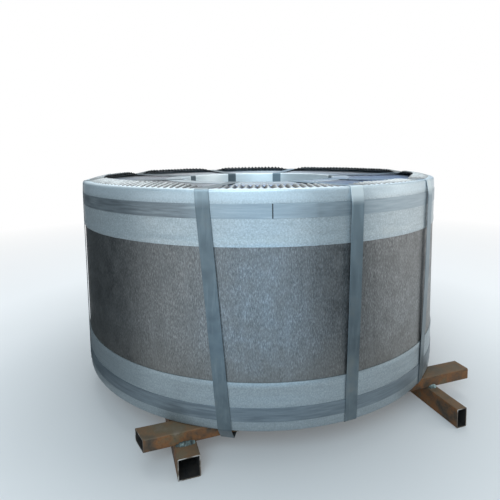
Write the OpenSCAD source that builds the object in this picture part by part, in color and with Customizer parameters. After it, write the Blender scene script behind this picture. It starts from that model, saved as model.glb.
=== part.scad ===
// Galvanised steel coil, packed eye to sky on a welded skid of hollow sections.
// Millimetres, +Z up. The origin is on the coil's axis, on the floor under the skid.
// -Y is the front, and azimuths are counted from it towards +X.

/* [Coil] */
// outside diameter of the wound steel strip
coil_od = 1096; // [912:4:1316]
// bore of the coil
coil_bore = 508; // [424:4:608]
// width of the strip, which is the coil's height
strip_w = 530; // [440:5:640]
// grooves that show the turns on each end
turn_grooves = 14; // [4:1:20]

/* [Packing] */
// thickness of the outer wrap sheet
wrap_t = 1; // [0.6:0.1:1.6]
// sheet thickness of the edge rings
ring_t = 1.2; // [0.8:0.1:1.8]
// height of the top ring's outer skirt
top_skirt_h = 124; // [100:2:150]
// height of the bottom ring's outer skirt
bottom_skirt_h = 113; // [90:1:140]
// how far the outer rings' flanges reach in over the ends
outer_flange_w = 58; // [44:2:70]
// rise of the top ring's corner over the coil's end
corner_rise = 6.5; // [6:0.5:9]
// rise of the crimped flange's free edge over the corner
rim_rise = 18; // [6:1:22]
// height of the inner rings' skirts in the bore
inner_skirt_h = 100; // [70:2:130]
// width of the inner rings' flanges
inner_flange_w = 50; // [36:2:60]

/* [Straps] */
// width of the steel strap
strap_w = 32; // [26:1:39]
// thickness of the steel strap
strap_t = 1; // [0.8:0.1:1.3]
// from the top corner down to the top band
top_band_drop = 31; // [20:1:40]
// from the coil's foot up to the bottom band
bottom_band_rise = 23; // [16:1:34]
// length of the top band's lap
lap_len = 110; // [80:5:130]

/* [Skid] */
// long side of the hollow section, and both sides of the left runner's
tube_a = 50; // [42:1:60]
// short side of the hollow section
tube_b = 30; // [25:1:38]
// wall of the hollow section
tube_wall = 2.5; // [2:0.1:4]
// length of the two bearers that carry the coil, as a share of the packed diameter
bearer_len_share = 0.823; // [0.76:0.003:0.85]
// from the coil's axis to each bearer's middle, as a share of the packed radius
bearer_off_share = 0.79; // [0.72:0.01:0.8]
// how far both bearers are set to the right
bearer_shift = 9; // [0:1:20]
// how much the front of the front bearer's left end is cut back
skew_cut = 14; // [0:1:24]
// length of the two runners on the floor, as a share of the packed diameter
runner_len_share = 0.968; // [0.92:0.004:1.02]
// from the coil's axis to each runner's middle, as a share of the packed radius
runner_off_share = 0.615; // [0.56:0.005:0.67]
// how far the right runner is set forward and the left one back
runner_shift = 30; // [0:1:40]

/* [Hidden] */
skid_h = tube_a + tube_b;
foot_z = skid_h + strap_t;
strip_z = foot_z + ring_t;
end_z = strip_z + strip_w;

bore_r = coil_bore / 2;
coil_r = coil_od / 2;
wrap_r = coil_r + wrap_t;
ring_r = wrap_r + ring_t;
band_r = ring_r + strap_t;
liner_r = bore_r - ring_t;

corner_z = end_z + corner_rise;
rim_z = corner_z + rim_rise;
rim_flat = 4;
corner_r = 6;
foot_corner_r = 3 * ring_t;
hem_h = 16;
hem_t = 0.4;

groove_w = 0.8;
groove_d = 0.6;
groove_clear = 8;
groove_sway = 2.2;

lap_az = -16;
lap_angle = lap_len / band_r * 180 / PI;

bearer_len = 2 * ring_r * bearer_len_share;
bearer_off = ring_r * bearer_off_share;
runner_len = 2 * ring_r * runner_len_share;
runner_off = ring_r * runner_off_share;
tube_corner = 3;
bead_leg = 6;
under_z = tube_a - strap_t;

// azimuth of each eye strap at the top and at the foot of the coil
eye_az = [[-32, -27.6], [3.8, 2.7], [34.6, 31.6], [77, 77],
          [143, 143], [184, 184], [228, 228], [-88.4, -88.4]];
// the strap that also goes round the front bearer
tied_strap = 0;

steel = [0.66, 0.69, 0.71];
zinc = [0.74, 0.78, 0.80];
strap_grey = [0.42, 0.44, 0.45];
rust = [0.42, 0.30, 0.22];

// points on a round corner, from one angle to another
function arc(cx, cz, r, from, to, steps = 6) =
    [for (i = [0 : steps]) let (a = from + (to - from) * i / steps) [cx + r * cos(a), cz + r * sin(a)]];

function groove_r(i, inner, outer) =
    inner + (outer - inner) * i / (turn_grooves - 1) + groove_sway * sin(i * 77);

// the wound strip as one turned solid, with grooves at both ends between the rings' flanges
module coil() {
    inner = bore_r + inner_flange_w + groove_clear;
    outer = ring_r - outer_flange_w - groove_clear;
    color(steel)
    difference() {
        translate([0, 0, strip_z]) cylinder(h = strip_w, r = coil_r, $fn = 180);
        translate([0, 0, strip_z - 1]) cylinder(h = strip_w + 2, r = bore_r, $fn = 180);
        for (i = [0 : turn_grooves - 1], z = [strip_z - groove_d, end_z - groove_d])
            turn_groove(groove_r(i, inner, outer), z);
    }
}

module turn_groove(r, z) {
    translate([0, 0, z])
    difference() {
        cylinder(h = 2 * groove_d, r = r + groove_w, $fn = 180);
        translate([0, 0, -1]) cylinder(h = 2 * groove_d + 2, r = r, $fn = 180);
    }
}

// a sheet tube between two heights
module sheet_tube(r, t, z0, z1) {
    rotate_extrude($fn = 180) translate([r, z0]) square([t, z1 - z0]);
}

module outer_wrap() {
    color(steel) sheet_tube(coil_r, wrap_t, strip_z, end_z);
}

// skirt down the side with a hem, rounded corner, and a flange whose free edge stands up off the end
module top_outer_ring() {
    hem_z = corner_z - top_skirt_h;
    flange_r = ring_r - outer_flange_w;
    mid_r = ring_r - corner_r;
    mid_z = corner_z - corner_r;
    outside = arc(mid_r, mid_z, corner_r, 0, 90);
    inside = arc(mid_r, mid_z, corner_r - ring_t, 90, 0);
    color(zinc)
    rotate_extrude($fn = 180)
        polygon(concat(
            [[wrap_r, hem_z], [ring_r + hem_t, hem_z], [ring_r + hem_t, hem_z + hem_h],
             [ring_r, hem_z + hem_h]],
            outside,
            [[flange_r, rim_z], [flange_r, rim_z - ring_t]],
            inside));
}

// the same ring upside down at the foot, with a flat flange that the coil stands on
module bottom_outer_ring() {
    hem_z = foot_z + bottom_skirt_h;
    flange_r = ring_r - outer_flange_w;
    outside = arc(ring_r - foot_corner_r, foot_z + foot_corner_r, foot_corner_r, -90, 0);
    color(zinc)
    rotate_extrude($fn = 180)
        polygon(concat(
            [[flange_r, foot_z]],
            outside,
            [[ring_r, hem_z - hem_h], [ring_r + hem_t, hem_z - hem_h], [ring_r + hem_t, hem_z],
             [wrap_r, hem_z],
             [wrap_r, strip_z], [flange_r, strip_z]]));
}

// sheet ring with its skirt in the bore and its flange on the end of the coil
module inner_ring(z_face, up) {
    z_skirt = z_face - up * inner_skirt_h;
    rotate_extrude($fn = 180)
        polygon([[liner_r, z_skirt], [bore_r, z_skirt], [bore_r, z_face], [bore_r + inner_flange_w, z_face],
                 [bore_r + inner_flange_w, z_face + up * ring_t], [liner_r, z_face + up * ring_t]]);
}

module top_inner_ring() {
    color(zinc) inner_ring(end_z, 1);
}

module bottom_inner_ring() {
    color(zinc) inner_ring(strip_z, -1);
}

// band round the top ring, with the lap of its free end
module top_band() {
    z0 = corner_z - top_band_drop - strap_w;
    color(strap_grey)
    union() {
        sheet_tube(ring_r, strap_t, z0, z0 + strap_w);
        rotate([0, 0, lap_az - 90])
        rotate_extrude(angle = lap_angle, $fn = 180)
            translate([ring_r + strap_t / 2, z0]) square([1.5 * strap_t, strap_w]);
    }
}

module bottom_band() {
    z0 = foot_z + bottom_band_rise;
    color(strap_grey) sheet_tube(ring_r, strap_t, z0, z0 + strap_w);
}

// a flat length of strap that follows a line of [radius, height] points, strap_t thick upwards
module radial_strap(points, side) {
    n = len(points);
    over = [for (i = [n - 1 : -1 : 0]) points[i] + [0, strap_t]];
    rotate([90, 0, 0]) translate([0, 0, -side - strap_w / 2]) linear_extrude(height = strap_w)
        polygon(concat(points, over));
}

// a flat upright length of strap at radius r that may lean sideways between its foot and its top
module upright_strap(r, z0, z1, low, high) {
    half = strap_w / 2;
    translate([r, 0, 0]) rotate([90, 0, 90]) linear_extrude(height = strap_t)
        polygon([[low - half, z0], [low + half, z0], [low + half, z0 + strap_t],
                 [high + half, z1 - strap_t], [high + half, z1], [high - half, z1],
                 [high - half, z1 - strap_t], [low - half, z0 + strap_t]]);
}

// one closed loop of strap: down the outside, under the coil, up the bore and over the top
module eye_strap(n) {
    mid_az = (eye_az[n][0] + eye_az[n][1]) / 2;
    high = band_r * tan(eye_az[n][0] - mid_az);
    low = -high;
    tied = n == tied_strap;
    out_r = band_r + strap_t;
    in_r = sqrt(pow(liner_r, 2) - pow(strap_w / 2 + abs(high), 2)) - strap_t;
    face_z = end_z + ring_t;
    flat_r = bore_r + inner_flange_w;
    rim_r = ring_r - outer_flange_w;
    over = [[in_r, face_z], [flat_r, face_z], [rim_r - rim_flat, rim_z], [rim_r, rim_z],
            [ring_r - corner_r, corner_z], [out_r, corner_z]];
    past_bearer = (bearer_off - tube_a / 2) / cos(mid_az) - (strap_w / 2 + abs(high)) * abs(tan(mid_az));
    low_z = tied ? skid_h - strap_t : skid_h;
    near_edge = abs(high) - strap_w / 2;
    fore_bearer = (bearer_off + tube_a / 2 - near_edge * abs(sin(mid_az))) / cos(mid_az);
    under = tied ? [[in_r, skid_h], [bore_r, skid_h], [past_bearer, under_z], [fore_bearer, under_z],
                    [band_r, low_z], [out_r, low_z]]
                 : [[in_r, skid_h], [out_r, skid_h]];
    color(strap_grey)
    rotate([0, 0, mid_az - 90])
    union() {
        radial_strap(over, high);
        radial_strap(under, low);
        upright_strap(band_r, low_z, corner_z + strap_t, low, high);
        upright_strap(in_r, skid_h, face_z + strap_t, low, high);
    }
}

// outline of a hollow section with round outer corners
module tube_outline(w, h) {
    difference() {
        union() {
            translate([-w / 2 + tube_corner, 0]) square([w - 2 * tube_corner, h]);
            translate([-w / 2, tube_corner]) square([w, h - 2 * tube_corner]);
            for (x = [-1, 1], y = [tube_corner, h - tube_corner])
                translate([x * (w / 2 - tube_corner), y]) circle(r = tube_corner, $fn = 48);
        }
        translate([-w / 2 + tube_wall, tube_wall]) square([w - 2 * tube_wall, h - 2 * tube_wall]);
    }
}

// bearer that lies flat across the runners, along X; the front one's left end is cut askew
module bearer(side) {
    color(rust)
    translate([bearer_shift, side * bearer_off, tube_a])
    difference() {
        rotate([90, 0, 90]) translate([0, 0, -bearer_len / 2])
            linear_extrude(height = bearer_len) tube_outline(tube_a, tube_b);
        if (side < 0) skew_block();
    }
}

// what the skew cut takes off the left end
module skew_block() {
    reach = tube_a / 2 + 1;
    lean = reach * skew_cut / tube_a;
    translate([-bearer_len / 2, 0, -1])
        linear_extrude(height = tube_b + 2)
            polygon([[-2, reach], [skew_cut / 2 - lean, reach],
                     [skew_cut / 2 + lean, -reach], [-2, -reach]]);
}

// width of a runner: the left one is square, the right one stands on its short side
function runner_w(side) = side < 0 ? tube_a : tube_b;

// runner on the floor, along Y
module runner(side) {
    color(rust)
    translate([side * runner_off, -side * runner_shift, 0])
    rotate([90, 0, 0])
    translate([0, 0, -runner_len / 2])
        linear_extrude(height = runner_len) tube_outline(runner_w(side), tube_a);
}

// fillet weld on a runner's top along one face of a bearer
module weld_bead(side, y, out) {
    length = runner_w(side) - 2 * tube_corner;
    translate([side * runner_off - length / 2, y, tube_a]) rotate([90, 0, 90])
        linear_extrude(height = length) polygon([[0, 0], [out * bead_leg, 0], [0, bead_leg]]);
}

module weld_beads() {
    color(zinc)
    for (side = [-1, 1], y = [-1, 1], face = [-1, 1])
        weld_bead(side, y * bearer_off + face * tube_a / 2, face);
}

coil();
outer_wrap();
top_outer_ring();
bottom_outer_ring();
top_inner_ring();
bottom_inner_ring();
top_band();
bottom_band();
eye_strap(0);  // eye_strap_1
eye_strap(1);  // eye_strap_2
eye_strap(2);  // eye_strap_3
eye_strap(3);  // eye_strap_4
eye_strap(4);  // eye_strap_5
eye_strap(5);  // eye_strap_6
eye_strap(6);  // eye_strap_7
eye_strap(7);  // eye_strap_8
bearer(-1);  // bearer_front
bearer(1);  // bearer_back
runner(-1);  // runner_left
runner(1);  // runner_right
weld_beads();
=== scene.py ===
"""A slit steel coil, eye to the sky, strapped on its welded skid: the looks over the CAD frame."""
import math
import random

import bmesh
import bpy
from mathutils import Matrix, Vector, noise


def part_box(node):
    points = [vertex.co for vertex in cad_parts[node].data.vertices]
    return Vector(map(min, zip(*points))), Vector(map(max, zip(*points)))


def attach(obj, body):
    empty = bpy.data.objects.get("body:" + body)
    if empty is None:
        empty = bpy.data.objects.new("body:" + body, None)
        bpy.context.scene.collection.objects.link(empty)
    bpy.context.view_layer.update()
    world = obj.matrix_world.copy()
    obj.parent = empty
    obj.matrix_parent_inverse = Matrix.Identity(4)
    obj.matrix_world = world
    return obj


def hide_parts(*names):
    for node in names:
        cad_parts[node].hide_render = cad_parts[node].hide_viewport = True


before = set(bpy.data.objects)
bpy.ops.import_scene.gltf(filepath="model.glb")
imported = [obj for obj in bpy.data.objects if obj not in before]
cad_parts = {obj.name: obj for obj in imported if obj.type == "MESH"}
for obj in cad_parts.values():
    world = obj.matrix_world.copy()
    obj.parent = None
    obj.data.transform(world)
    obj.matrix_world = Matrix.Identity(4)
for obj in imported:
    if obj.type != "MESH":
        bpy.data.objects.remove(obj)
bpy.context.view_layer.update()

# radii, widths and thicknesses of the sheet, rings and straps, in metres
BORE_R = 0.254
COIL_R = 0.548
WRAP_R = 0.549
RING_R = 0.5502
BAND_R = 0.5512
LINER_R = 0.2528
RING_T = 0.0012
STRAP_T = 0.001
STRAP_W = 0.032
HEM_T = 0.0004
HEM_H = 0.016
HEM_CROWN = 0.0007
CORNER_R = 0.006
FOOT_CORNER_R = 0.0036
OUTER_FLANGE_W = 0.058
INNER_FLANGE_W = 0.050
RING_SKIRT_H = 0.124
RING_BULGE = 0.00012
STRAP_GAP = 0.0001

# hollow sections of the skid and their welds, in metres
TUBE_WALL = 0.0025
TUBE_CORNER_R = 0.003
TUBE_INNER_R = 0.0008
BEAD_LEG = 0.0075
# how much the skin of a tube is worn in at most, as a share of the way to its centre line
TUBE_WEAR = 0.011
# how much the front of the front bearer's left end is cut back
SKEW_CUT = 0.014

# heights, from the frame
STRIP_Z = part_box("coil")[0].z
END_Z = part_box("coil")[1].z
FOOT_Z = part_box("bottom_outer_ring")[0].z
FOOT_HEM_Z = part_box("bottom_outer_ring")[1].z
TOP_HEM_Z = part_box("top_outer_ring")[0].z
CORNER_Z = TOP_HEM_Z + RING_SKIRT_H
FACE_Z = END_Z + RING_T
TOP_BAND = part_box("top_band")[0].z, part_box("top_band")[1].z
FOOT_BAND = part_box("bottom_band")[0].z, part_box("bottom_band")[1].z
SKID_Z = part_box("bearer_front")[1].z
UNDER_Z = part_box("eye_strap_1")[0].z

# azimuth of each eye strap at the top and at the foot, in degrees from the front towards +X
EYE_STRAPS = [(-32, -27.6), (3.8, 2.7), (34.6, 31.6), (77, 77),
              (143, 143), (184, 184), (228, 228), (-88.4, -88.4)]
# how far a strap stands off the bands at the side, usually and for single straps, in metres
USUAL_SLACK = 0.0009
SLACK = {1: 0.0050, 2: 0.0050, 7: 0.0}
# the strap that also goes under the front bearer, and the straps with a stronger painted highlight over the
# crown and up the side
TIED_STRAP = 0
LIT_STRAPS = 1, 2, 4

# free end of the top band, in degrees: where it is, how far round it laps, how far it slopes down
# at the lap's other end, and from where to where the painted shadow before its edge lies
LAP_AZ = -16
LAP_ANGLE = 11.4
LAP_SLOPE = 1.5
LAP_SHADOW = 0.26
LAP_EDGE = 0.03

# the crimped flange of the top ring: its folds, and how a strap presses it down and how wide
CRIMPS = 204
COLUMNS_PER_CRIMP = 8
CRIMP_RISE = 0.0040
CRIMP_PRESSED = 0.86
PRESSED_RIM = -0.0013
PRESS_SPREAD = 0.040
# middle azimuth of each bay between two straps, and how far the rim stands up there
BAYS = [(-60, 0.0085), (-14, 0.0036), (19, 0.0014), (56, 0.0075),
        (110, 0.0085), (163, 0.0105), (206, 0.0100), (250, 0.0085)]

# the steps of the coil's end: how many, how deep, and what share of a step its sloping side takes
END_STEPS = 96
STEP_DEPTHS = 0.0003, 0.0005, 0.0008, 0.0013
STEP_SLOPE = 0.05
# side of the coil's end where a blue reflection is painted
BLUE_REFLECTION_AZ = 25

# the camera: azimuth of its upright plane, its place in that plane in metres, its turn in radians,
# and its lens and sensor in mm
CAMERA_AZ = -19.4
CAMERA_BACK, CAMERA_UP = 1.4157, 0.6929
CAMERA_YAW, CAMERA_PITCH, CAMERA_ROLL = -0.01804, 0.09436, -0.01308
CAMERA_LENS, CAMERA_SENSOR, CAMERA_SHIFT = 30.03, 36, -0.1144

UP = Vector((0, 0, 1))
# how far the studio's cards lie over the floor
CARD_LIFT = 0.003
# a corner that turns by less than this, in radians, isn't rounded
STRAIGHT = 0.02
# the Mix node's colour sockets
MIX_FIRST, MIX_SECOND, MIX_RESULT = 6, 7, 2

random.seed(7)


# ---------------------------------------------------------------- mesh helpers

def outward(azimuth):
    """Unit vector away from the coil's axis at an azimuth in degrees from the front towards +X."""
    a = math.radians(azimuth)
    return Vector((math.sin(a), -math.cos(a), 0))


def along(azimuth):
    """Unit vector round the coil at that azimuth, towards growing azimuth."""
    a = math.radians(azimuth)
    return Vector((math.cos(a), math.sin(a), 0))


def placed(name, data):
    """A new object with this data, in the scene."""
    made = bpy.data.objects.new(name, data)
    bpy.context.scene.collection.objects.link(made)
    return made


def piece(name, verts, faces, material, nodes, sharp=32):
    """Makes one finished piece that stands for CAD nodes."""
    mesh = bpy.data.meshes.new(name)
    mesh.from_pydata(verts, [], faces)
    mesh.validate()
    mesh.materials.append(material)
    mesh.shade_smooth()
    mesh.set_sharp_from_angle(angle=math.radians(sharp))
    made = placed(name, mesh)
    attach(made, "root")
    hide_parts(*nodes)
    return made


def grid_faces(columns, rows, first=0, close_columns=True):
    """Quads between columns of rows points each, every column a closed loop."""
    faces = []
    for i in range(columns if close_columns else columns - 1):
        here, there = first + i * rows, first + (i + 1) % columns * rows
        for j in range(rows):
            k = (j + 1) % rows
            faces.append((here + j, there + j, there + k, here + k))
    return faces


def turned(columns, profile, moved=None):
    """Vertices and faces of a closed ring, from profile's (radius, height) points at each azimuth.

    moved gives single columns another azimuth than their even share of the turn.
    """
    verts = []
    for i in range(columns):
        azimuth = (moved or {}).get(i, 360 * i / columns)
        out = outward(azimuth)
        verts += [(out.x * r, out.y * r, z) for r, z in profile(azimuth)]
    return verts, grid_faces(columns, len(verts) // columns)


def joined(*parts):
    """Several (verts, faces) as one."""
    verts, faces = [], []
    for more, quads in parts:
        faces += [tuple(k + len(verts) for k in quad) for quad in quads]
        verts += more
    return verts, faces


def arc(centre, radius, start, end, steps):
    """Points on a round corner, from one angle in degrees to another."""
    angles = [math.radians(start + (end - start) * i / steps) for i in range(steps + 1)]
    return [(centre[0] + radius * math.cos(a), centre[1] + radius * math.sin(a)) for a in angles]


def steps_between(a, b, count):
    """A count of points from a towards b, with b left out."""
    return [(a[0] + (b[0] - a[0]) * i / count, a[1] + (b[1] - a[1]) * i / count) for i in range(count)]


def rounded(points, steps):
    """Closed line of (x, y, radius) corners as points, with each corner rounded to its radius."""
    line = []
    count = len(points)
    for i, (x, y, radius) in enumerate(points):
        here = Vector((x, y))
        before = (Vector(points[i - 1][:2]) - here).normalized()
        after = (Vector(points[(i + 1) % count][:2]) - here).normalized()
        turn = math.pi - before.angle(after)
        if turn < STRAIGHT:
            line.append((x, y))
            continue
        reach = radius * math.tan(turn / 2)
        first, last = here + before * reach, here + after * reach
        for k in range(steps + 1):
            t = k / steps
            line.append(tuple((1 - t) ** 2 * first + 2 * t * (1 - t) * here + t ** 2 * last))
    return line


def sway(x, y=0.0, z=0.0):
    """Smooth seeded unevenness between about -1 and 1."""
    return noise.noise(Vector((x + 31.7, y + 11.3, z + 5.1)))


def clamped(value):
    """Value kept between 0 and 1."""
    return min(1, max(0, value))


def turn_apart(a, b):
    """Degrees from azimuth b to azimuth a, between -180 and 180."""
    return (a - b + 180) % 360 - 180


# ---------------------------------------------------------------- material helpers

def new_material(name, **sockets):
    """A node material whose Principled sockets hold these values."""
    material = bpy.data.materials.new(name)
    material.use_nodes = True
    shader = material.node_tree.nodes["Principled BSDF"]
    for socket, value in sockets.items():
        shader.inputs[socket.replace("_", " ")].default_value = value
    return material


def add(material, kind, inputs=None, **settings):
    """A new node with its settings, its inputs linked or set."""
    node = material.node_tree.nodes.new(kind)
    for key, value in settings.items():
        setattr(node, key, value)
    for key, value in (inputs or {}).items():
        if isinstance(value, bpy.types.NodeSocket):
            material.node_tree.links.new(value, node.inputs[key])
        else:
            node.inputs[key].default_value = value
    return node


def feed(material, socket, source):
    """Links a source to one of the Principled shader's sockets."""
    shader = material.node_tree.nodes["Principled BSDF"]
    material.node_tree.links.new(source, shader.inputs[socket])


def place(material, scale=(1, 1, 1)):
    """Place on the object, stretched by scale."""
    coordinates = add(material, "ShaderNodeTexCoord").outputs["Object"]
    return add(material, "ShaderNodeMapping", {"Vector": coordinates, "Scale": scale}).outputs["Vector"]


def grain(material, vector, scale, detail=3, roughness=0.55):
    """Noise between 0 and 1."""
    return add(material, "ShaderNodeTexNoise",
               {"Vector": vector, "Scale": scale, "Detail": detail, "Roughness": roughness}).outputs["Fac"]


def spread(material, value, low, high, out_low, out_high):
    """Value from one range to another, clamped."""
    return add(material, "ShaderNodeMapRange", {"Value": value, "From Min": low, "From Max": high,
                                                "To Min": out_low, "To Max": out_high}).outputs["Result"]


def ramp(material, value, *stops):
    """Colour by value, from (position, (red, green, blue)) stops."""
    node = add(material, "ShaderNodeValToRGB", {"Fac": value})
    elements = node.color_ramp.elements
    while len(elements) < len(stops):
        elements.new(0.5)
    for element, (position, colour) in zip(elements, stops):
        element.position = position
        element.color = (*colour, 1)
    return node.outputs["Color"]


def blended(material, amount, first, second):
    """Second colour over the first by an amount."""
    node = add(material, "ShaderNodeMix", {"Factor": amount}, data_type="RGBA")
    for key, value in ((MIX_FIRST, first), (MIX_SECOND, second)):
        if isinstance(value, bpy.types.NodeSocket):
            material.node_tree.links.new(value, node.inputs[key])
        else:
            node.inputs[key].default_value = (*value, 1)
    return node.outputs[MIX_RESULT]


def reckon(material, operation, first, second):
    """One sum or product of two values."""
    return add(material, "ShaderNodeMath", {0: first, 1: second}, operation=operation).outputs["Value"]


def relief(material, *layers):
    """Bump from (height, distance) layers, onto the Principled shader."""
    normal = None
    for height, distance in layers:
        inputs = {"Height": height, "Distance": distance}
        if normal is not None:
            inputs["Normal"] = normal
        normal = add(material, "ShaderNodeBump", inputs).outputs["Normal"]
    feed(material, "Normal", normal)


def component(material, vector, axis):
    """A vector's X, Y or Z."""
    return add(material, "ShaderNodeSeparateXYZ", {"Vector": vector}).outputs[axis]


def height_above(material):
    """Height of the surface point over the floor."""
    return component(material, place(material), "Z")


def from_axis(material):
    """Distance of the surface point from the coil's axis."""
    flat = add(material, "ShaderNodeVectorMath", {0: place(material), 1: (1, 1, 0)},
               operation="MULTIPLY").outputs["Vector"]
    return add(material, "ShaderNodeVectorMath", {0: flat}, operation="LENGTH").outputs["Value"]


def far_along(material, vector, direction):
    """How far a vector reaches along a direction."""
    return add(material, "ShaderNodeVectorMath", {0: vector, 1: direction},
               operation="DOT_PRODUCT").outputs["Value"]


def rings(material, radius, scale, detail):
    """Noise between 0 and 1 that changes only with the radius."""
    return add(material, "ShaderNodeTexNoise", {"W": radius, "Scale": scale, "Detail": detail},
               noise_dimensions="1D").outputs["Fac"]


def painted(material, name):
    """Value that a mesh carries at its points under a name."""
    return add(material, "ShaderNodeAttribute", attribute_name=name).outputs["Fac"]


# ---------------------------------------------------------------- materials

def wrap_sheet():
    """Rough, speckled galvanised sheet with short upright flecks."""
    m = new_material("wrap_sheet", Metallic=0.9, Roughness=0.42)
    fleck = grain(m, place(m, (1, 1, 0.30)), 500, 2)
    mottle = grain(m, place(m), 26, 4)
    streak = grain(m, place(m, (1, 1, 0.05)), 60, 3)
    colour = ramp(m, fleck, (0.28, (0.115, 0.12, 0.122)), (0.50, (0.20, 0.206, 0.208)),
                  (0.74, (0.36, 0.368, 0.37)))
    colour = blended(m, spread(m, mottle, 0.35, 0.7, 0, 0.35), colour, (0.17, 0.165, 0.157))
    colour = blended(m, spread(m, streak, 0.45, 0.75, 0, 0.25), colour, (0.28, 0.288, 0.292))
    foot_dust = spread(m, height_above(m), FOOT_HEM_Z, FOOT_HEM_Z + 0.10, 0.35, 0)
    colour = blended(m, foot_dust, colour, (0.155, 0.135, 0.110))
    feed(m, "Base Color", colour)
    feed(m, "Roughness", spread(m, mottle, 0.3, 0.7, 0.36, 0.54))
    relief(m, (fleck, 0.00035), (mottle, 0.0006))
    return m


def ring_sheet(name, heights, shares, tone, blue=False):
    """Brighter, smoother galvanised sheet of the rings, with a tone laid over it, which is painted light and
    shade on the top, foot and eye rings.

    The tone's share goes from the first of shares at the first of heights to the second at the second.
    """
    m = new_material(name, Metallic=0.6, Roughness=0.4)
    speck = grain(m, place(m), 300, 3)
    rub = grain(m, place(m, (1, 1, 9)), 16, 4)
    blotch = grain(m, place(m), 14, 3)
    colour = ramp(m, speck, (0.30, (0.33, 0.38, 0.40)), (0.60, (0.47, 0.53, 0.56)),
                  (0.78, (0.60, 0.66, 0.69)))
    colour = blended(m, spread(m, rub, 0.50, 0.72, 0, 0.30), colour, (0.29, 0.32, 0.335))
    colour = blended(m, spread(m, blotch, 0.55, 0.8, 0, 0.25), colour, (0.42, 0.43, 0.42))
    # the tone by height, which on the top, foot and eye rings is painted light and shade
    colour = blended(m, spread(m, height_above(m), *heights, *shares), colour, tone)
    # blue: the painted blue reflection on one side of the coil's end
    feed(m, "Base Color", painted_blue_reflection(m, colour) if blue else colour)
    feed(m, "Roughness", spread(m, rub, 0.3, 0.7, 0.34, 0.50))
    relief(m, (speck, 0.00012), (blotch, 0.0008))
    return m


def crimped_sheet():
    """The ring's crimped flange: a painted highlight along the fold crests and painted shade in the hollows
    between them.
    """
    m = new_material("crimped_sheet", Metallic=0.5, Roughness=0.42)
    speck = grain(m, place(m), 240, 3)
    # the crests lit and the hollows shaded by colour: painted highlight and painted shade
    light_and_shade_level = reckon(m, "ADD", painted(m, "fold"), spread(m, speck, 0.3, 0.7, -0.12, 0.12))
    feed(m, "Base Color", ramp(m, light_and_shade_level, (0.18, (0.035, 0.030, 0.028)), (0.52, (0.125, 0.13, 0.132)),
                               (0.84, (0.46, 0.48, 0.48))))
    relief(m, (speck, 0.0002))
    return m


def flange_under():
    """Underside of the crimped flange: pale as painted light, and black along its free edge as painted
    shade.
    """
    m = new_material("flange_under", Metallic=0.1, Roughness=0.55)
    speck = grain(m, place(m), 160, 3)
    light_and_shade_level = reckon(m, "ADD", painted(m, "edge"), spread(m, speck, 0.3, 0.7, -0.08, 0.08))
    feed(m, "Base Color", ramp(m, light_and_shade_level, (0.66, (0.88, 0.86, 0.83)), (0.86, (0.03, 0.028, 0.026))))
    return m


def strap_steel(name, crown, side):
    """Dark bluish strapping with lengthwise rub marks, with a painted highlight over the crown and up the
    side.
    """
    m = new_material(name, Metallic=0.65, Roughness=0.4)
    rub = grain(m, place(m, (1, 1, 0.12)), 120, 3)
    patch = grain(m, place(m), 22, 3)
    colour = ramp(m, patch, (0.34, (0.085, 0.108, 0.122)), (0.56, (0.118, 0.148, 0.164)),
                  (0.76, (0.155, 0.172, 0.172)))
    colour = blended(m, spread(m, rub, 0.50, 0.74, 0, 0.40), colour, (0.22, 0.262, 0.28))
    # lighter upwards by the side share and over the crown by the crown share: painted light
    colour = blended(m, spread(m, height_above(m), 0.24, 0.58, 0, side), colour, (0.27, 0.35, 0.40))
    outer = spread(m, from_axis(m), COIL_R - 0.012, COIL_R, 0, crown)
    upper = spread(m, height_above(m), TOP_BAND[1] - 0.01, TOP_BAND[1] + 0.012, 0, 1)
    colour = blended(m, reckon(m, "MULTIPLY", upper, outer), colour, (0.72, 0.80, 0.83))
    feed(m, "Base Color", colour)
    feed(m, "Roughness", spread(m, rub, 0.3, 0.7, 0.33, 0.48))
    relief(m, (rub, 0.00012))
    return m


def band_steel():
    """The same strapping laid round the coil, its rub marks level, the upper band lighter as painted light
    and the lower band darker as painted shade.
    """
    m = new_material("band_steel", Metallic=0.65, Roughness=0.42)
    rub = grain(m, place(m, (1, 1, 14)), 14, 4)
    speck = grain(m, place(m), 240, 2)
    colour = ramp(m, rub, (0.32, (0.15, 0.172, 0.19)), (0.56, (0.23, 0.265, 0.285)),
                  (0.76, (0.34, 0.37, 0.385)))
    colour = blended(m, spread(m, speck, 0.55, 0.8, 0, 0.3), colour, (0.14, 0.15, 0.16))
    height = height_above(m)
    # the upper band lighter, less so at its left end: painted light
    upper_band_light = reckon(m, "MULTIPLY", spread(m, height, FOOT_BAND[1], TOP_BAND[0], 0, 0.34),
                   spread(m, component(m, place(m), "X"), -0.33, -0.27, 0.15, 1))
    colour = blended(m, upper_band_light, colour, (0.56, 0.68, 0.76))
    # the lower band darker: painted shade
    lower_band_shade = spread(m, height, FOOT_BAND[1], TOP_BAND[0], 0.40, 0)
    colour = blended(m, lower_band_shade, colour, (0.085, 0.12, 0.15))
    feed(m, "Base Color", colour)
    feed(m, "Roughness", spread(m, rub, 0.3, 0.7, 0.36, 0.5))
    relief(m, (speck, 0.0001))
    return m


def lap_painted_shadow():
    """Painted shadow along the edge of a lap."""
    m = new_material("lap_painted_shadow", Metallic=0.2, Roughness=0.7)
    feed(m, "Base Color", ramp(m, grain(m, place(m), 300, 3), (0.35, (0.012, 0.016, 0.018)),
                               (0.70, (0.055, 0.065, 0.07))))
    return m


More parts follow.
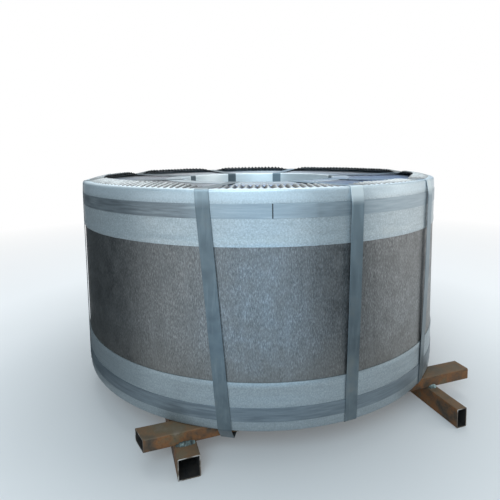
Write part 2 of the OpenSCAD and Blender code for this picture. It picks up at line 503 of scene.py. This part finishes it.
def strip_steel():
    """Cut edges of the wound strip: fine rings, with faint blue and straw tints, and a painted blue
    reflection on one side.
    """
    m = new_material("strip_steel", Metallic=0.9, Roughness=0.32)
    radius = from_axis(m)
    fine, broad = rings(m, radius, 900, 2), rings(m, radius, 60, 3)
    cloud = grain(m, place(m), 5, 3)
    colour = ramp(m, fine, (0.30, (0.24, 0.25, 0.27)), (0.70, (0.46, 0.48, 0.51)))
    colour = blended(m, spread(m, broad, 0.5, 0.7, 0, 0.35), colour, (0.22, 0.30, 0.42))
    colour = blended(m, spread(m, cloud, 0.52, 0.72, 0, 0.40), colour, (0.38, 0.34, 0.34))
    feed(m, "Base Color", painted_blue_reflection(m, colour))
    relief(m, (fine, 0.0003))
    return m


def painted_blue_reflection(m, colour):
    """Colour with a painted blue reflection on one side of the coil's end."""
    cloud = spread(m, grain(m, place(m), 6, 3), 0.3, 0.7, -0.12, 0.12)
    tinted = reckon(m, "ADD", far_along(m, place(m), outward(BLUE_REFLECTION_AZ)), cloud)
    return blended(m, spread(m, tinted, 0.18, 0.34, 0, 0.55), colour, (0.09, 0.19, 0.36))


def rusty_tube():
    """Hollow section with mill scale, rust blooms and paler rubbed tops."""
    m = new_material("rusty_tube", Metallic=0.1, Roughness=0.75)
    bloom = grain(m, place(m), 13, 5, 0.62)
    pit = grain(m, place(m), 210, 4, 0.65)
    drag = grain(m, place(m, (1, 1, 1.6)), 42, 4)
    colour = ramp(m, bloom, (0.34, (0.020, 0.018, 0.014)), (0.43, (0.078, 0.046, 0.024)),
                  (0.52, (0.190, 0.074, 0.022)), (0.60, (0.118, 0.084, 0.044)),
                  (0.72, (0.200, 0.158, 0.130)))
    colour = blended(m, spread(m, pit, 0.5, 0.75, 0, 0.55), colour, (0.030, 0.019, 0.012))
    colour = blended(m, spread(m, drag, 0.55, 0.8, 0, 0.45), colour, (0.19, 0.086, 0.032))
    facing = component(m, add(m, "ShaderNodeNewGeometry").outputs["Normal"], "Z")
    dust = reckon(m, "MULTIPLY", spread(m, facing, 0.4, 0.9, 0, 0.62), spread(m, drag, 0.2, 0.6, 0.6, 1))
    colour = blended(m, dust, colour, (0.140, 0.102, 0.062))
    feed(m, "Base Color", colour)
    feed(m, "Roughness", spread(m, bloom, 0.3, 0.7, 0.6, 0.9))
    relief(m, (pit, 0.0005), (drag, 0.0006))
    return m


def cut_steel():
    """Sawn end of a hollow section, browned over but for a few bright stretches."""
    m = new_material("cut_steel", Metallic=0.4, Roughness=0.5)
    saw = grain(m, place(m, (1, 1, 8)), 180, 3)
    colour = ramp(m, saw, (0.3, (0.085, 0.062, 0.046)), (0.7, (0.16, 0.12, 0.09)))
    bare = spread(m, grain(m, place(m), 26, 2), 0.52, 0.62, 0, 0.9)
    colour = blended(m, bare, colour, (0.58, 0.55, 0.52))
    feed(m, "Base Color", colour)
    relief(m, (saw, 0.0002))
    return m


def tube_hollow():
    """Inside of a hollow section: bare mill scale, painted near black as the shade of a recess that dust and
    light hardly reach.
    """
    m = new_material("tube_hollow", Metallic=0.0, Roughness=0.9)
    scale = grain(m, place(m), 60, 4)
    feed(m, "Base Color", ramp(m, scale, (0.35, (0.006, 0.005, 0.005)), (0.7, (0.022, 0.016, 0.012))))
    relief(m, (scale, 0.0003))
    return m


def weld_metal():
    """Grey-green weld metal with soot and a dusting of zinc."""
    m = new_material("weld_metal", Metallic=0.25, Roughness=0.55)
    blot = grain(m, place(m), 60, 4)
    colour = ramp(m, blot, (0.36, (0.018, 0.020, 0.018)), (0.50, (0.075, 0.098, 0.090)),
                  (0.66, (0.36, 0.44, 0.42)))
    feed(m, "Base Color", colour)
    feed(m, "Roughness", spread(m, blot, 0.3, 0.7, 0.65, 0.45))
    relief(m, (grain(m, place(m), 320, 3), 0.0004))
    return m


# ---------------------------------------------------------------- coil and wrap

def build_coil(material):
    """The wound strip: a solid with its bore, whose ends show the turns as fine steps."""
    depths = [random.choice(STEP_DEPTHS) for _ in range(END_STEPS)]
    width = (COIL_R - BORE_R) / END_STEPS
    slope = STEP_SLOPE * width
    section = []
    for end, into in ((END_Z, -1), (STRIP_Z, 1)):
        face = []
        for i, depth in enumerate(depths):
            r, z = BORE_R + width * i, end + into * depth
            face += [(r + slope, z), (r + width - slope, z)]
        section += face if end == END_Z else face[::-1]
    section.reverse()

    verts, faces = turned(240, lambda azimuth: section)
    piece("coil_turns", verts, faces, material, ["coil"], 20)


def build_wrap(material):
    """Thin sheet round the coil, very slightly uneven where no ring holds it."""
    rows = 40
    held_h = 0.03
    dent_depth = 0.00035
    slack = 0.00005
    inner_r = COIL_R + 0.0001

    def profile(azimuth):
        out = outward(azimuth)
        outer = []
        for j in range(rows + 1):
            z = STRIP_Z + (END_Z - STRIP_Z) * j / rows
            free = clamped((z - FOOT_HEM_Z) / held_h) * clamped((TOP_HEM_Z - z) / held_h)
            dent = dent_depth * free * (sway(out.x * 4, out.y * 4, z * 3) - 0.6)
            outer.append((WRAP_R - slack + dent, z))
        return outer + [(inner_r, END_Z), (inner_r, STRIP_Z)]

    verts, faces = turned(360, profile)
    piece("wrap", verts, faces, material, ["outer_wrap"])


# ---------------------------------------------------------------- rings

def strap_press(azimuth):
    """How far the nearest eye strap pulls the top flange down, from 0 to 1."""
    nearest = min(abs(turn_apart(azimuth, top)) for top, _ in EYE_STRAPS)
    return math.exp(-(math.radians(nearest) * RING_R / PRESS_SPREAD) ** 2)


def bay_rise(azimuth):
    """Height of the rim over the corner, blended between the bays' middles."""
    azimuth %= 360
    stops = sorted((middle % 360, rise) for middle, rise in BAYS)
    stops = [(stops[-1][0] - 360, stops[-1][1])] + stops + [(stops[0][0] + 360, stops[0][1])]
    for (a, low), (b, high) in zip(stops, stops[1:]):
        if azimuth <= b:
            t = (azimuth - a) / (b - a)
            return low + (high - low) * t * t * (3 - 2 * t)


def hem_side(edge_z, up, skirt_r):
    """Crowned outside of a folded hem, from its free edge to where it meets the skirt."""
    outline = [(RING_R + HEM_T * 0.5, 0), (RING_R + HEM_CROWN, 0.0016), (RING_R + HEM_CROWN, HEM_H * 0.55),
               (RING_R + HEM_T, HEM_H - 0.0012), (skirt_r, HEM_H + 0.0004)]
    return [(r, edge_z + up * h) for r, h in outline]


def build_top_ring(material, crimped, underside):
    """Skirt with its hem, rounded corner, and a crimped flange that stands up between the straps."""
    jitter = [(random.uniform(-0.12, 0.12), random.uniform(0.72, 1.0)) for _ in range(CRIMPS)]
    flange_steps = 5
    flange_run = OUTER_FLANGE_W - CORNER_R
    bend_r, bend_z = RING_R - CORNER_R, CORNER_Z - CORNER_R
    lean = 0.0010
    unevenness = 0.0010

    def crimp(azimuth):
        place_in, number = math.modf(azimuth / 360 * CRIMPS)
        shift, size = jitter[int(number) % CRIMPS]
        crest = 0.55 + shift
        wave = place_in / crest if place_in < crest else (1 - place_in) / (1 - crest)
        return (2 * wave - 1) * size

    def profile(azimuth):
        press = strap_press(azimuth)
        out = outward(azimuth)
        rise = bay_rise(azimuth) + unevenness * sway(out.x * 5, out.y * 5)
        rise = rise * (1 - press) + PRESSED_RIM * press
        fold = crimp(azimuth) * CRIMP_RISE * (1 - CRIMP_PRESSED * press)
        flange = []
        for k in range(1, flange_steps + 1):
            t = k / flange_steps
            flange.append((bend_r - flange_run * t, CORNER_Z + rise * t ** 1.1 + fold * min(1, t * 2.2)))
        bulge = RING_BULGE * sway(out.x * 6, out.y * 6, 4)
        outside = hem_side(TOP_HEM_Z, 1, RING_R + bulge)
        outside += steps_between((RING_R + bulge, TOP_HEM_Z + HEM_H + 0.012),
                                 (RING_R, TOP_BAND[0] - 0.001), 3)
        outside += [(RING_R, TOP_BAND[0]), (RING_R, TOP_BAND[1])]
        outside += steps_between((RING_R - lean * 0.4, TOP_BAND[1] + 0.008), (RING_R - lean, bend_z), 2)
        corner = arc((bend_r - lean, bend_z), CORNER_R, 0, 88, 6)
        under = [(r, z - RING_T) for r, z in reversed(flange)]
        inner = arc((bend_r - lean, bend_z), CORNER_R - RING_T, 88, 0, 4)
        return ([(WRAP_R, TOP_HEM_Z)] + outside + corner + flange + under + inner
                + [(WRAP_R, TOP_BAND[1]), (WRAP_R, TOP_HEM_Z + HEM_H)])

    columns = CRIMPS * COLUMNS_PER_CRIMP
    verts, faces = turned(columns, profile)
    made = piece("top_ring", verts, faces, material, ["top_outer_ring"], 50)
    made.data.materials.append(crimped)
    made.data.materials.append(underside)
    rows = len(verts) // columns
    radii = [Vector(vert[:2]).length for vert in verts]
    # fold: 0 in a fold's hollow to 1 on its crest, for the painted highlight and shade of the crimped flange
    fold_light = made.data.attributes.new("fold", "FLOAT", "POINT")
    # edge: share of the way to the flange's free edge, for the painted shade along it
    edge_shade = made.data.attributes.new("edge", "FLOAT", "POINT")
    for i in range(columns):
        azimuth = 360 * i / columns
        crest = 0.5 + 0.5 * crimp(azimuth) * (1 - strap_press(azimuth))
        for j in range(i * rows, (i + 1) * rows):
            fold_light.data[j].value = crest
            edge_shade.data[j].value = clamped((bend_r - radii[j]) / flange_run)
    for polygon in made.data.polygons:
        if all(radii[k] < bend_r - 0.002 and verts[k][2] > END_Z for k in polygon.vertices):
            polygon.material_index = 1 if polygon.normal.z > 0.2 else 2


def build_bottom_ring(material):
    """The same ring upside down, its flange pressed flat between the coil and the skid."""
    flange_r = RING_R - OUTER_FLANGE_W
    fold_depth, crease = 0.00025, 0.001
    corner = arc((RING_R - FOOT_CORNER_R, FOOT_Z + FOOT_CORNER_R), FOOT_CORNER_R, -90, 0, 5)
    back = [(WRAP_R, FOOT_HEM_Z), (WRAP_R, STRIP_Z + crease), (WRAP_R - crease, STRIP_Z),
            (flange_r, STRIP_Z)]

    def profile(azimuth):
        out = outward(azimuth)
        skirt_r = RING_R + RING_BULGE * sway(out.x * 6, out.y * 6, 9)
        fold = fold_depth * math.sin(math.radians(azimuth) * CRIMPS)
        flange = [(flange_r, FOOT_Z + 0.0003 + fold), (flange_r + 0.03, FOOT_Z + 0.0002 + fold * 0.6)]
        skirt = steps_between((skirt_r, FOOT_Z + 0.02), (skirt_r, FOOT_HEM_Z - HEM_H - 0.004), 4)
        return flange + corner + skirt + hem_side(FOOT_HEM_Z, -1, skirt_r)[::-1] + back

    verts, faces = turned(CRIMPS * 4, profile)
    piece("bottom_ring", verts, faces, material, ["bottom_outer_ring"], 38)


def build_inner_ring(material, flat_material, name, node, face, up):
    """Sheet ring with its skirt in the bore and its flange on the end of the coil."""
    low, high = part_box(node)
    skirt_z = low.z if up > 0 else high.z
    bend, edge, crease = 0.003, 0.0004, 0.001
    flange_r = BORE_R + INNER_FLANGE_W
    top = face + up * RING_T
    inside = [(LINER_R, skirt_z), (LINER_R, top - up * bend)]
    corner = [(LINER_R + bend - bend * math.cos(a), top - up * (bend - bend * math.sin(a)))
              for a in (math.radians(18 * k) for k in range(1, 6))]
    flange = [(flange_r - edge, top), (flange_r, top - up * edge), (flange_r, face)]
    back = [(BORE_R + crease, face), (BORE_R, face - up * crease), (BORE_R, skirt_z)]
    section = inside + corner + flange + back
    if up > 0:
        section.reverse()

    verts, faces = turned(240, lambda azimuth: section)
    made = piece(name, verts, faces, material, [node], 32)
    made.data.materials.append(flat_material)
    for polygon in made.data.polygons:
        if polygon.normal.z * up > 0.9:
            polygon.material_index = 1


# ---------------------------------------------------------------- bands and straps

def build_band(material, lap_shade, name, node, span, lapped):
    """Flat band round the outside, with the lap of its free end where that shows."""
    columns = 720
    rounding = 0.0002
    wander = 0.0004

    def profile(azimuth):
        out = outward(azimuth)
        into_lap = turn_apart(azimuth, LAP_AZ + LAP_ANGLE) + LAP_ANGLE
        over = 0.0
        if lapped and into_lap > -0.001:
            over = STRAP_T * clamped((LAP_ANGLE - into_lap) / LAP_SLOPE)
        wave = wander * sway(out.x * 3, out.y * 3, 17)
        low, high = span[0] + max(0, wave), span[1] + min(0, wave)
        inner, outer = RING_R + STRAP_GAP, BAND_R + over
        return [(inner, low), (outer - rounding, low), (outer, low + rounding), (outer, (low + high) / 2),
                (outer, high - rounding), (outer - rounding, high), (inner, high)]

    step = round((LAP_AZ % 360) / 360 * columns)
    verts, faces = turned(columns, profile, {step - 2: LAP_AZ - LAP_SHADOW, step - 1: LAP_AZ - LAP_EDGE})
    made = piece(name, verts, faces, material, [node])
    if lapped:
        rows = len(verts) // columns
        # the strip before the lap's edge gets the painted shadow
        made.data.materials.append(lap_shade)
        for k in range((step - 2) * rows, step * rows):
            made.data.polygons[k].material_index = 1


def ribbon(line, azimuth, shift):
    """A closed loop of strap along a line of (radius, height), shifted sideways by height."""
    out, side = outward(azimuth), along(azimuth)
    half_w, half_t, edge = STRAP_W / 2, STRAP_T / 2, 0.0003
    section = [(-half_w, -half_t + edge), (-half_w + edge, -half_t), (half_w - edge, -half_t),
               (half_w, -half_t + edge), (half_w, half_t - edge), (half_w - edge, half_t),
               (-half_w + edge, half_t), (-half_w, half_t - edge)]
    verts = []
    count = len(line)
    for i, (r, z) in enumerate(line):
        before, after = Vector(line[i - 1]), Vector(line[(i + 1) % count])
        run = (after - before).normalized()
        normal = Vector((run.y, -run.x))
        for s, t in section:
            spot = out * (r + normal.x * t) + side * (s + shift(z))
            verts.append((spot.x, spot.y, z + normal.y * t))
    return verts, grid_faces(count, len(section))


def build_eye_strap(material, number):
    """One strap through the eye: down the outside, under the coil, up the bore and over the top."""
    top, foot = EYE_STRAPS[number]
    azimuth = (top + foot) / 2
    high = BAND_R * math.tan(math.radians(top - azimuth))
    half_t = STRAP_T / 2
    half_w = STRAP_W / 2
    in_r = math.sqrt(LINER_R ** 2 - (half_w + abs(high)) ** 2) - half_t
    over_flange = CORNER_Z + half_t
    skirt_r = RING_R + half_t + STRAP_GAP
    crown_r = skirt_r - 0.0008
    out_r = BAND_R + half_t
    base_z, under_z = SKID_Z + half_t, UNDER_Z + half_t
    slack = SLACK.get(number, USUAL_SLACK)
    tight, easy = 0.004, 0.02
    corners = [
        (in_r, FACE_Z + half_t, tight),
        (BORE_R + INNER_FLANGE_W, FACE_Z + half_t, 0.01),
        (RING_R - CORNER_R - 0.001, over_flange, 0.01),
        (crown_r, over_flange, 0.0062),
        (out_r + slack, TOP_BAND[1] - 0.002, easy),
        (out_r + slack * 0.9, (TOP_BAND[0] + FOOT_BAND[1]) / 2, 0.2),
        (out_r, FOOT_BAND[0], easy),
    ]
    if number == TIED_STRAP:
        bearer_low, bearer_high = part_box("bearer_front")
        lean = math.radians(abs(azimuth))
        fore = (-bearer_low.y - (abs(high) - half_w) * math.sin(lean)) / math.cos(lean) + half_t
        past = (-bearer_high.y - (half_w + abs(high)) * math.sin(lean)) / math.cos(lean)
        corners += [(out_r, base_z + 0.002, 0.008), (fore, under_z, 0.003), (past, under_z, tight),
                    (BORE_R, base_z, tight)]
    else:
        corners += [(skirt_r, FOOT_BAND[0] - 0.012, 0.01), (skirt_r, base_z, tight)]
    corners.append((in_r, base_z, tight))

    line = rounded(corners[::-1], 6)

    def shift(z):
        return high * (2 * clamped((z - base_z) / (over_flange - base_z)) - 1)

    verts, faces = ribbon(line, azimuth, shift)
    piece(f"strap_{number + 1}", verts, faces, material, [f"eye_strap_{number + 1}"], 40)


# ---------------------------------------------------------------- skid

def tube_section(w, h, wall, radius):
    """Outer and inner outlines of a hollow section, as matching loops."""
    loops = []
    for inset, r in ((0, radius), (wall, max(radius - wall, TUBE_INNER_R))):
        loop = []
        for cx, cy, start in ((1, 1, 0), (-1, 1, 90), (-1, -1, 180), (1, -1, 270)):
            centre = cx * (w / 2 - inset - r), cy * (h / 2 - inset - r)
            loop += arc(centre, r, start, start + 90, 5)
        loops.append(loop)
    return loops


def build_tube(skin, cut, hollow, name, skew=0.0):
    """A length of hollow section with rounded corners, rough skin and sawn ends.

    skew is how far the first end's front edge is cut back.
    """
    low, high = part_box(name)
    lengthwise = Vector((1, 0, 0)) if high.x - low.x > high.y - low.y else Vector((0, 1, 0))
    size = high - low
    length = size.dot(lengthwise)
    across = Vector((0, 1, 0)) if lengthwise.x else Vector((1, 0, 0))
    width = size.dot(across)
    outer, inner = tube_section(width, size.z, TUBE_WALL, TUBE_CORNER_R)
    centre = (low + high) / 2
    rows, count = len(outer), 60
    verts = []
    for loop, wear in ((outer, TUBE_WEAR), (inner, 0)):
        for i in range(count + 1):
            run = length * (i / count - 0.5)
            for x, z in loop:
                cut_back = skew * (0.5 - x / width) * (1 - i / count)
                off_centre = across * x + UP * z
                spot = centre + lengthwise * (run + cut_back) + off_centre
                verts.append(tuple(spot - off_centre * wear * (0.5 + 0.5 * sway(*(spot * 28)))))
    shell = (count + 1) * rows
    outside = grid_faces(count + 1, rows, 0, close_columns=False)
    inside = [face[::-1] for face in grid_faces(count + 1, rows, shell, close_columns=False)]
    ends = []
    for first in (0, count * rows):
        for j in range(rows):
            k = (j + 1) % rows
            face = (first + j, first + k, shell + first + k, shell + first + j)
            ends.append(face[::-1] if first else face)
    made = piece(name + "_tube", verts, outside + inside + ends, skin, [name], 40)
    made.data.materials.append(cut)
    made.data.materials.append(hollow)
    for i, polygon in enumerate(made.data.polygons):
        if i >= len(outside) + len(inside):
            polygon.material_index = 1
        elif i >= len(outside):
            polygon.material_index = 2
    fix_normals(made)


def fix_normals(made):
    """Turns every face outwards."""
    work = bmesh.new()
    work.from_mesh(made.data)
    bmesh.ops.recalc_face_normals(work, faces=work.faces)
    work.to_mesh(made.data)
    work.free()


def bead(centre, length, out, leg):
    """One lumpy fillet weld in the corner between a runner's top and a bearer's face."""
    columns, rows = 28, 12
    verts = []
    for i in range(columns + 1):
        t = i / columns
        fade = math.sin(math.pi * t) ** 0.35 if 0 < t < 1 else 0.02
        ripple = 1 + 0.10 * math.sin(t * 36) + 0.20 * sway(t * 5, centre.x * 9, centre.y * 9)
        for j in range(rows + 1):
            a = math.radians(90 * j / rows)
            swell = leg * fade * ripple * (1 - 0.12 * math.sin(2 * a))
            verts.append((centre.x + (t - 0.5) * length, centre.y + out * math.cos(a) * swell,
                          centre.z + math.sin(a) * swell))
        verts.append((centre.x + (t - 0.5) * length, centre.y - out * 0.0004, centre.z - 0.0002))
    loop = rows + 2
    faces = grid_faces(columns + 1, loop, 0, close_columns=False)
    faces += [tuple(range(loop)), tuple(range(columns * loop, (columns + 1) * loop))[::-1]]
    return verts, faces


def build_beads(material):
    """The fillet welds of the skid, each a little shorter than its runner is wide."""
    beads = []
    shorter = 0.004
    for bearer in ("bearer_front", "bearer_back"):
        b_low, b_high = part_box(bearer)
        for runner in ("runner_left", "runner_right"):
            r_low, r_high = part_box(runner)
            x, length = (r_low.x + r_high.x) / 2, r_high.x - r_low.x - shorter
            for y, out in ((b_low.y, -1), (b_high.y, 1)):
                beads.append(bead(Vector((x, y, r_high.z)), length, out, BEAD_LEG))
    verts, faces = joined(*beads)
    made = piece("welds", verts, faces, material, ["weld_beads"], 60)
    fix_normals(made)


# ---------------------------------------------------------------- stage

def stage_plane(name, corners, material):
    """One flat face of the studio."""
    mesh = bpy.data.meshes.new(name)
    mesh.from_pydata([tuple(corner) for corner in corners], [], [(0, 1, 2, 3)])
    mesh.materials.append(material)
    plane = placed(name, mesh)
    return plane


def build_floor():
    """Plain pale floor that fades into the white surroundings, darker near the coil as painted shade."""
    reach = 30
    m = new_material("floor_pale", Roughness=0.9)
    away = from_axis(m)
    cloud = spread(m, grain(m, place(m), 0.9, 2), 0, 1, 0, 0.2)
    # darker close to the coil: painted shade, with a faint cloud
    shade_and_cloud = reckon(m, "ADD", spread(m, away, 0.55, 1.3, 0, 0.8), cloud)
    feed(m, "Base Color", ramp(m, shade_and_cloud, (0.0, (0.52, 0.53, 0.535)), (1.0, (0.80, 0.805, 0.81))))
    glow = add(m, "ShaderNodeEmission", {"Color": (1, 1, 1, 1), "Strength": 1.0}).outputs["Emission"]
    shader = m.node_tree.nodes["Principled BSDF"]
    faded = spread(m, away, 0.8, 3.4, 0.12, 1.0)
    mixed = add(m, "ShaderNodeMixShader", {0: faded, 1: shader.outputs["BSDF"], 2: glow}).outputs["Shader"]
    m.node_tree.links.new(mixed, m.node_tree.nodes["Material Output"].inputs["Surface"])
    stage_plane("floor", [(-reach, -reach, 0), (reach, -reach, 0), (reach, reach, 0), (-reach, reach, 0)], m)


def build_card(name, turn, distance, width, height, depth, shade, glow=0.0):
    """A studio card that only reflections see, its near edge square to an azimuth, that far from the axis.

    turn is counted from the camera's azimuth; the card rises by height and runs outwards by depth.
    """
    m = new_material(name, Base_Color=(*shade, 1), Roughness=1.0,
                     Emission_Color=(*shade, 1), Emission_Strength=glow)
    azimuth = CAMERA_AZ + turn
    foot = outward(azimuth) * distance + UP * CARD_LIFT
    half = along(azimuth) * width / 2
    run = UP * height + outward(azimuth) * depth
    card = stage_plane(name, [foot - half, foot + half, foot + half + run, foot - half + run], m)
    card.visible_camera = card.visible_diffuse = card.visible_shadow = False


def soft_light(name, spot, aim_z, size, power, colour):
    """A large area light that points at a height on the coil's axis."""
    data = bpy.data.lights.new(name, "AREA")
    data.shape = "RECTANGLE"
    data.size, data.size_y = size
    data.energy = power
    data.color = colour
    light = placed(name, data)
    light.location = spot
    light.rotation_euler = (UP * aim_z - spot).to_track_quat("-Z", "Y").to_euler()


def build_world():
    """White surroundings; what lights the object is bluish in front, warmer right, dim left."""
    world = bpy.data.worlds.new("studio")
    bpy.context.scene.world = world
    world.use_nodes = True
    sky = add(world, "ShaderNodeTexCoord").outputs["Generated"]
    past_right = (along(CAMERA_AZ) * 0.3 - outward(CAMERA_AZ) + UP * 0.1).normalized()
    # direction, where along it the colour starts and is full, its full share, the colour
    patches = [(outward(CAMERA_AZ), -0.2, 0.9, 1, (0.52, 0.74, 0.90)),
               (along(CAMERA_AZ), 0.3, 1.0, 1, (0.55, 0.55, 0.53)),
               (along(CAMERA_AZ), -0.3, -0.9, 1, (0.10, 0.12, 0.13)),
               (past_right, 0.93, 0.985, 0.8, (0.12, 0.30, 0.60))]
    colour = (0.62, 0.64, 0.65)
    for direction, start, full, share, patch in patches:
        amount = spread(world, far_along(world, sky, direction), start, full, 0, share)
        colour = blended(world, amount, colour, patch)
    seen = add(world, "ShaderNodeLightPath").outputs["Is Camera Ray"]
    colour = blended(world, seen, colour, (1, 1, 1))
    world.node_tree.links.new(colour, world.node_tree.nodes["Background"].inputs["Color"])


def build_camera():
    """The camera, a little above the coil's top."""
    yaw, pitch, roll = CAMERA_YAW, CAMERA_PITCH, CAMERA_ROLL
    right = Vector((math.cos(yaw), -math.sin(yaw), 0))
    ahead = Vector((math.sin(yaw) * math.cos(pitch), math.cos(yaw) * math.cos(pitch), -math.sin(pitch)))
    up = right.cross(ahead)
    right, up = right * math.cos(roll) + up * math.sin(roll), up * math.cos(roll) - right * math.sin(roll)
    axes = Matrix((right, up, -ahead)).transposed()
    data = bpy.data.cameras.new("camera")
    data.sensor_width = CAMERA_SENSOR
    data.lens = CAMERA_LENS
    data.shift_y = CAMERA_SHIFT
    camera = placed("camera", data)
    seat = (Matrix.Rotation(math.radians(CAMERA_AZ), 4, "Z")
            @ Matrix.Translation((0, -CAMERA_BACK, CAMERA_UP)))
    camera.matrix_world = seat @ axes.to_4x4()
    bpy.context.scene.camera = camera


build_camera()
# the top ring's skirt lighter above the top band: a painted highlight
sheet = ring_sheet("ring_sheet", (TOP_BAND[1] - 0.004, TOP_BAND[1] + 0.012), (0, 0.50),
                   (0.66, 0.76, 0.82))
# the foot ring darker, most of all at its bottom: painted shade
foot_sheet_painted_shade = ring_sheet("foot_sheet_painted_shade", (FOOT_Z, FOOT_HEM_Z), (0.62, 0.40), (0.145, 0.165, 0.175))
# the eye rings almost white, whiter towards the top: painted light in the bore
eye_sheet = ring_sheet("eye_sheet", (END_Z - 0.2, END_Z), (0.75, 0.95), (0.86, 0.92, 0.94))
# the eye flanges: a darker tint of their own, with the painted blue reflection
eye_flange = ring_sheet("eye_flange", (END_Z - 0.2, END_Z), (0.2, 0.2), (0.30, 0.33, 0.36), True)
# the lit straps get a stronger painted highlight over the crown and up the side
strap, lit_strap = strap_steel("strap_steel", 0.25, 0.20), strap_steel("strap_painted_lit", 0.90, 0.75)
band, lap_shade = band_steel(), lap_painted_shadow()
rust, cut, hollow = rusty_tube(), cut_steel(), tube_hollow()

build_coil(strip_steel())
build_wrap(wrap_sheet())
build_top_ring(sheet, crimped_sheet(), flange_under())
build_bottom_ring(foot_sheet_painted_shade)
build_inner_ring(eye_sheet, eye_flange, "top_eye_ring", "top_inner_ring", END_Z, 1)
build_inner_ring(eye_sheet, eye_flange, "bottom_eye_ring", "bottom_inner_ring", STRIP_Z, -1)
build_band(band, lap_shade, "upper_band", "top_band", TOP_BAND, True)
build_band(band, lap_shade, "lower_band", "bottom_band", FOOT_BAND, False)
for index in range(len(EYE_STRAPS)):
    build_eye_strap(lit_strap if index in LIT_STRAPS else strap, index)
build_tube(rust, cut, hollow, "bearer_front", SKEW_CUT)
for tube in ("bearer_back", "runner_left", "runner_right"):
    build_tube(rust, cut, hollow, tube)
build_beads(weld_metal())

build_floor()
build_world()
front = outward(CAMERA_AZ)
side = along(CAMERA_AZ)
soft_light("front_soft", front * 3.0 - side * 0.5 + UP * 2.4, 0.4, (2.4, 1.8), 60, (0.74, 0.90, 1.0))
soft_light("right_soft", side * 3.2 + front * 0.4 + UP * 1.4, 0.35, (1.6, 2.0), 14, (1.0, 0.96, 0.90))
soft_light("top_soft", UP * 3.4 - front * 1.0, 0.4, (3.0, 3.0), 70, (0.94, 0.98, 1.0))
# cards that only reflections see: the dark flags and left floor card are painted shade in the reflections,
# the glowing front floor card a painted blue reflection
build_card("left_flag", -84, 0.93, 1.15, 0.75, 0, (0.01, 0.012, 0.014))
build_card("right_flag", 34, 0.98, 0.46, 0.7, 0, (0.01, 0.018, 0.022))
build_card("left_floor", -78, 0.60, 0.9, 0, 0.5, (0.05, 0.055, 0.06))
build_card("front_floor", 2, 0.95, 1.0, 0, 2.4, (0.40, 0.56, 0.72), 1.0)
bpy.context.scene.view_settings.view_transform = "Standard"
